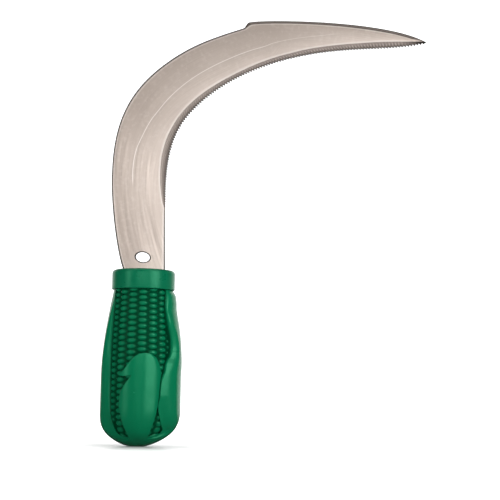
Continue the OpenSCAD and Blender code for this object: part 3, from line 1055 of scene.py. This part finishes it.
@dataclass
class Leaf:
    """The raised leaf on the front of the cob: a rounded tongue with a small beak on one side."""

    side: Profile = ((-3.2, 3.0), (-5.0, 7.8), (-8.3, 13.7), (-10.5, 19.9), (-11.7, 26.1), (-11.5, 31.2),
                     (-10.4, 35.4), (-8.5, 39.2), (-6.0, 42.6), (-4.3, 45.2))
    beak: Profile = ((-4.3, 45.2), (-6.6, 44.8), (-9.4, 44.4), (-12.5, 44.9))
    crown: Profile = ((-12.5, 44.9), (-9.6, 48.0), (-6.8, 52.0), (-4.1, 55.4), (-1.6, 57.6), (0.9, 58.8),
                      (4.2, 59.3), (7.2, 58.7), (9.7, 57.2), (11.3, 55.2), (12.6, 52.3), (13.6, 48.5),
                      (14.0, 44.3), (13.9, 39.2), (13.4, 34.2), (12.8, 29.1), (12.0, 24.5), (11.0, 19.0),
                      (9.8, 14.4), (8.6, 10.2), (6.8, 5.0), (5.4, 2.4))
    foot: Profile = ((5.4, 2.4), (1.0, 1.2), (-3.2, 3.0))
    spine: Profile = ((0.0, 8.0), (43.0, 43.0), (46.6, 50.0), (62.0, 51.5))
    spine_x: float = 2.6
    ridge: Profile = ((-12.0, 1.3), (-4.0, 1.7), (0.5, 1.9), (6.0, 1.35), (10.0, 0.95), (14.0, 0.7))
    edge_w: Profile = ((-13.0, 0.07), (4.0, 0.09), (10.0, 0.22), (13.4, 0.28))
    wall_h: Profile = ((-10.0, 0.7), (4.0, 0.55), (12.0, 0.15))
    buried: float = 2.4
    inward: int = 16

    @staticmethod
    def run(points: Profile, count: int) -> np.ndarray:
        """Evenly spaced points on a smooth curve through the given ones; each coordinate is a limited cubic
        of the chord length.

        Args:
            points: points on the curve.
            count: how many to return, without the last end.

        Returns:
            Array (count, 2).
        """
        p = np.array(points, dtype=float)
        chord = np.concatenate([[0.0], np.cumsum(np.linalg.norm(np.diff(p, axis=0), axis=1))])
        at = np.linspace(0.0, chord[-1], count, endpoint=False)
        return np.stack([smooth_profile(tuple(zip(chord, p[:, k])), at) for k in (0, 1)], axis=-1)

    def shape(self) -> Shape:
        """The leaf as a closed solid: rings shrink from the outline to the spine while the surface rises
        over a rounded edge to the ridge's height, ridge * sqrt(1 - (1 - t/w)^2) for t below the edge's
        width w.

        Returns:
            The shape.
        """
        outline = np.concatenate([self.run(self.foot, 24), self.run(self.side, 90), self.run(self.beak, 24),
                                  self.run(self.crown, 150)])
        spine_z = smooth_profile(self.spine, outline[:, 1])
        spine = np.stack([np.full(len(outline), self.spine_x), spine_z], axis=-1)
        t = np.linspace(0.0, 1.0, self.inward)[:, None]**1.5 * 0.995
        flat = outline + (spine - outline) * t[..., None]
        edge_w = np.interp(outline[:, 0], *np.array(self.edge_w).T)
        lift = np.sqrt(np.clip(1.0 - (1.0 - np.minimum(t / edge_w, 1.0))**2, 0.0, 1.0))
        x, z = flat[..., 0], flat[..., 1]
        cob = FORM.radius(z, COB_R)
        wall = np.interp(outline[:, 0], *np.array(self.wall_h).T)
        top = cob + ease(z, 1.0, 9.0) * smooth_profile(self.ridge, x) * (wall + (1.0 - wall) * lift)
        skirt = FORM.radius(outline[:, 1], COB_R)
        x = np.concatenate([outline[None, :, 0], x])
        z = np.concatenate([outline[None, :, 1], z])
        sine = x / np.maximum(np.concatenate([skirt[None], cob]), 1.0)
        angle = np.degrees(np.arcsin(np.clip(sine, -1, 1)))
        zones = np.zeros((*x.shape, 3))
        # Painted shade on the leaf's side wall, under its raised edge.
        zones[0, :, 0] = 0.9
        return Shape.loft(around(np.concatenate([skirt[None] - self.buried, top]), angle, z), zones)


@dataclass
class Grip:
    """The two half shells of the handle, each with its kernels, its leaf and its part of both husks."""

    plastic: MouldedPlastic
    sharp: float = 38.0
    shift: float = 2.0
    shift_h: float = 22.0
    cob: Cob = field(default_factory=Cob)
    leaf: Leaf = field(default_factory=Leaf)
    husks: tuple[Husk, ...] = (
        Husk(Flank.BACK_OF_BLADE,
             front=((0.0, 0.0), (4.6, 0.0), (5.4, 5.0), (6.6, 9.0), (9.0, 13.8), (14.0, 16.8), (23.0, 18.4),
                    (43.0, 19.1), (62.0, 19.1), (80.0, 18.5), (94.0, 17.6), (100.3, 17.2)),
             depth=((0.0, 12.0), (23.0, 13.4), (45.0, 12.1), (62.5, 10.8), (80.0, 11.3), (94.3, 12.5),
                    (100.3, 14.0)),
             lip=0.4),
        Husk(Flank.EDGE_OF_BLADE,
             front=((0.0, 0.0), (4.6, 0.0), (5.6, 7.0), (7.2, 13.0), (9.5, 17.4), (11.0, 18.4), (14.0, 16.8),
                    (18.2, 15.1), (22.4, 13.9), (26.6, 13.3), (30.8, 13.8), (35.9, 14.1), (41.0, 14.5),
                    (44.8, 15.2), (47.8, 16.3), (52.0, 16.8), (55.0, 17.6), (57.3, 19.0), (61.5, 19.7),
                    (68.5, 19.5), (74.0, 18.5), (79.4, 17.5), (84.8, 16.5), (89.9, 15.7), (94.3, 15.8),
                    (100.3, 15.2)),
             depth=((0.0, 16.5), (20.0, 18.0), (30.0, 18.3), (45.0, 18.0), (52.0, 15.8), (57.3, 12.4),
                    (62.5, 11.2), (68.5, 12.0), (74.0, 13.4), (79.4, 15.3), (84.8, 15.6), (90.0, 15.0),
                    (94.3, 14.3), (100.3, 14.0)),
             fuller=((0.0, 0.0), (45.0, 0.0), (52.0, 0.5), (61.0, 0.8), (71.0, 1.0), (87.0, 0.8), (93.0, 1.5),
                     (96.5, 1.6), (98.4, 1.0), (100.3, 0.0)),
             fold_z=60.6,
             soft_z=29.0),
    )

    def settled(self, shape: Shape) -> Shape:
        """Shift the foot of the grip a little towards the back of the blade, by shift * (1 - z/shift_h)^1.5.

        Args:
            shape: the upright shape, which is changed.

        Returns:
            The same shape.
        """
        shape.points[:, 0] -= self.shift * np.clip(1.0 - shape.points[:, 2] / self.shift_h, 0.0, 1.0)**1.5
        return shape

    def build(self) -> list[tuple[bpy.types.Object, str]]:
        """Build and dress both half shells.

        Returns:
            Each piece with the node that it stands for.
        """
        parts = [self.cob.shell(), self.leaf.shape(), *[husk.shape() for husk in self.husks]]
        front = self.settled(Shape.joined(parts))
        finish = self.plastic.build()
        made = []
        for name, node, shape in (("cob_grip_front", "grip_front", front),
                                  ("cob_grip_back", "grip_back", front.mirrored())):
            piece = shape.piece(name, self.sharp)
            piece.data.materials.append(finish)
            made.append((piece, node))
        return made


# ---------------------------------------------------------------- collar


@dataclass
class Collar:
    """The plain ring over the grip's mouth: a turned profile with a rounded top, and the blade's slot."""

    plastic: MouldedPlastic
    roof: float = 3.4
    top_round: float = 2.4
    foot_round: float = 0.5
    crown: float = 0.5
    turns: int = 160
    slot: tuple[float, float] = (-13.8, 14.8)
    sharp: float = 35.0

    def build(self) -> bpy.types.Object:
        """Build and dress the collar.

        Returns:
            The piece.
        """
        r, h, bore = COLLAR_R, HANDLE_H - GRIP_H, SPIGOT_R + FIT
        arc = np.linspace(0.0, np.pi / 2, 9)
        top = np.stack([r - self.top_round + self.top_round * np.cos(arc),
                        h - self.top_round + self.top_round * np.sin(arc)], axis=-1)
        foot = np.stack([r - self.foot_round + self.foot_round * np.sin(arc),
                         self.foot_round - self.foot_round * np.cos(arc)], axis=-1)
        rim = r - self.top_round
        dome_r = rim * np.linspace(0.85, 0.0, 6)
        dome = np.stack([dome_r, h + self.crown * (1.0 - (dome_r / rim)**2)], axis=-1)
        inside = np.array([[0.0, h - self.roof], [bore, h - self.roof], [bore, 0.0]])
        profile = np.concatenate([foot, top, dome, inside])
        turn = np.linspace(0.0, 360.0, self.turns, endpoint=False)
        rings = around(profile[:, 0][None, :], turn[:, None], GRIP_H + profile[:, 1][None, :])
        index = np.arange(rings.shape[0] * rings.shape[1]).reshape(rings.shape[:2])
        nxt, up = np.roll(index, -1, axis=0), np.roll(index, -1, axis=1)
        quads = np.stack([index, nxt, np.roll(nxt, -1, axis=1), up], axis=-1).reshape(-1, 4)
        flat = rings.reshape(-1, 3)
        piece = Shape(flat, quads.tolist(), np.zeros(flat.shape), np.zeros((len(flat), 2))).piece(
            "handle_collar", self.sharp)
        cut_away(piece, self.saw(), self.sharp)
        piece.data.materials.append(self.plastic.build())
        return piece

    def saw(self) -> bpy.types.Object:
        """Tool that cuts the blade's slot through the roof.

        Returns:
            The cutter.
        """
        y = BLADE_T / 2 + FIT
        left, right = self.slot
        corners = np.array([[left, -y], [right, -y], [right, y], [left, y]])
        rings = np.array([np.column_stack([corners, np.full(4, z)]) for z in (GRIP_H - 2.0, HANDLE_H + 4.0)])
        return Shape.loft(rings).piece("collar_saw", self.sharp)


# ---------------------------------------------------------------- studio


@dataclass
class Softbox:
    """A rectangular studio light that looks at a point on the tool."""

    name: str
    azimuth: float
    elevation: float
    distance: float
    size: tuple[float, float]
    power: float
    target: Triple = (0.0, 0.0, 0.1)

    def build(self) -> None:
        """Place the light at an azimuth from the front (positive towards +X) and an elevation, in metres."""
        lamp = bpy.data.lights.new(self.name, "AREA")
        lamp.shape = "RECTANGLE"
        lamp.size, lamp.size_y = self.size
        lamp.energy = self.power
        made = bpy.data.objects.new(self.name, lamp)
        bpy.context.scene.collection.objects.link(made)
        a, e = math.radians(self.azimuth), math.radians(self.elevation)
        way = Vector((math.sin(a) * math.cos(e), -math.cos(a) * math.cos(e), math.sin(e)))
        made.location = Vector(self.target) + way * self.distance
        made.rotation_euler = (-way).to_track_quat("-Z", "Y").to_euler()


@dataclass
class Studio:
    """Pale floor, soft lights and the camera, which looks along +Y from low down."""

    target: tuple[float, float] = (0.4538, 0.4555)
    distance: float = 0.90278
    pitch: float = 6.0
    roll: float = 1.1
    lens: float = 100.0
    floor_front: float = -2.0
    backdrop_y: float = 1.4
    half_span: float = 3.0
    panel_span: float = 1.5
    panel_y: float = 1.2
    panel_top: float = 0.9
    sunk: float = -0.1
    rim_glow: float = 0.5
    world: float = 0.04
    lights: tuple[Softbox, ...] = (
        Softbox("key_right", 47.0, 18.5, 1.3, (0.72, 1.02), 12.0),
        Softbox("fill_left", -52.0, 17.0, 1.4, (0.36, 1.0), 4.0),
        Softbox("front_wash", 0.0, 7.3, 1.9, (1.5, 0.38), 5.2, (0.03, 0.0, 0.15)),
        Softbox("top", 0.0, 82.0, 1.6, (2.0, 2.0), 16.0),
    )

    def build(self) -> None:
        """Build the floor, the lights, the world and the camera."""
        scene = bpy.context.scene
        x, near, far = self.half_span, self.floor_front, self.backdrop_y
        w, y = self.panel_span, self.panel_y
        foot, top = self.sunk, self.panel_top
        # Painted shade: the floor's low glow near the foot darkens it round the tool, on top of the real
        # shadow.
        self.sheet(PaleStudio("pale_floor", (0.80, 0.80, 0.80), 0.08, 1.0),
                   ((-x, near, 0), (x, near, 0), (x, far, 0), (-x, far, 0)), True, False)
        self.sheet(PaleStudio("pale_backdrop", (0.5, 0.5, 0.5), 1.0, 1.0),
                   ((-x, far, foot), (x, far, foot), (x, far, 2 * x), (-x, far, 2 * x)), True, False)
        self.sheet(PaleStudio("rim_panel", (0.5, 0.5, 0.5), self.rim_glow, self.rim_glow),
                   ((-w, y, foot), (w, y, foot), (w, y, top), (-w, y, top)), False, True)
        for light in self.lights:
            light.build()
        world = bpy.data.worlds.new("studio")
        world.use_nodes = True
        world.node_tree.nodes["Background"].inputs["Color"].default_value = (1.0, 1.0, 1.0, 1.0)
        world.node_tree.nodes["Background"].inputs["Strength"].default_value = self.world
        scene.world = world
        scene.view_settings.view_transform = "Standard"
        self.camera()

    @staticmethod
    def sheet(finish: PaleStudio, corners: tuple[Triple, ...], shown: bool, mirrored: bool) -> None:
        """One flat sheet of the studio; what the camera sees also lights the tool softly.

        Args:
            finish: its finish, whose name it takes.
            corners: its four corners, in metres.
            shown: whether the camera sees it.
            mirrored: whether the tool mirrors it.
        """
        mesh = bpy.data.meshes.new(finish.name)
        mesh.from_pydata(corners, [], [(0, 1, 2, 3)])
        mesh.materials.append(finish.build())
        sheet = bpy.data.objects.new(finish.name, mesh)
        sheet.visible_diffuse = shown
        sheet.visible_camera = shown
        sheet.visible_glossy = mirrored
        bpy.context.scene.collection.objects.link(sheet)

    def camera(self) -> None:
        """Place the camera: it looks up a little at the middle of the tool, and leans with the handle."""
        low, high = CAD_BOX
        target = Vector((low[0] + self.target[0] * (high[0] - low[0]), 0.0,
                         low[2] + self.target[1] * (high[2] - low[2])))
        tilt, lean = math.radians(self.pitch), math.radians(self.roll)
        look = Vector((0.0, math.cos(tilt), math.sin(tilt)))
        level, rise = Vector((1.0, 0.0, 0.0)), Vector((0.0, -math.sin(tilt), math.cos(tilt)))
        right = math.cos(lean) * level + math.sin(lean) * rise
        up = math.cos(lean) * rise - math.sin(lean) * level
        data = bpy.data.cameras.new("camera")
        data.lens = self.lens
        data.sensor_width = 36.0
        made = bpy.data.objects.new("camera", data)
        bpy.context.scene.collection.objects.link(made)
        made.matrix_world = Matrix.Translation(target - look * self.distance) @ Matrix(
            (right, up, -look)).transposed().to_4x4()
        bpy.context.scene.camera = made


# ---------------------------------------------------------------- assembly


def settle(piece: bpy.types.Object, node: str) -> None:
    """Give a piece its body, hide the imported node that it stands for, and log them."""
    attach(piece, "root")
    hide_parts(node)
    LOG.info("%s: %d faces, for node %s", piece.name, len(piece.data.polygons), node)


def dress_inside() -> None:
    """Give the pieces closed inside the handle their finishes."""
    core = PlainFinish("core_moulding", (0.03, 0.032, 0.035), 0.0, 0.55).build()
    steel = PlainFinish("rivet_steel", (0.45, 0.45, 0.43), 1.0, 0.4).build()
    for node, finish in (("core_front", core), ("core_back", core),
                         ("tang_rivets", steel), ("rivet_burrs", steel)):
        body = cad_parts[node]
        body.data.materials.clear()
        body.data.materials.append(finish)
        LOG.info("%s: dressed", node)


def main() -> None:
    """Build the sickle and the studio round it."""
    logging.basicConfig(level=logging.INFO, format="%(name)s: %(message)s")
    Studio().build()
    # The second colour of each plastic is the painted shade of its hollows. The collar is the same green
    # plastic as the grip; its darker copy of the green is painted shade.
    green = MouldedPlastic("green_grip_plastic", (0.0, 0.112, 0.047), (0.0, 0.034, 0.013))
    collar_green_shaded = MouldedPlastic("green_collar_plastic_shaded", (0.0, 0.092, 0.041), (0.0, 0.03, 0.012),
                                  roughness=0.27)
    settle(Blade().build(), "blade")
    for piece, node in Grip(green).build():
        settle(piece, node)
    settle(Collar(collar_green_shaded).build(), "collar")
    dress_inside()


if __name__ == "__main__":
    main()
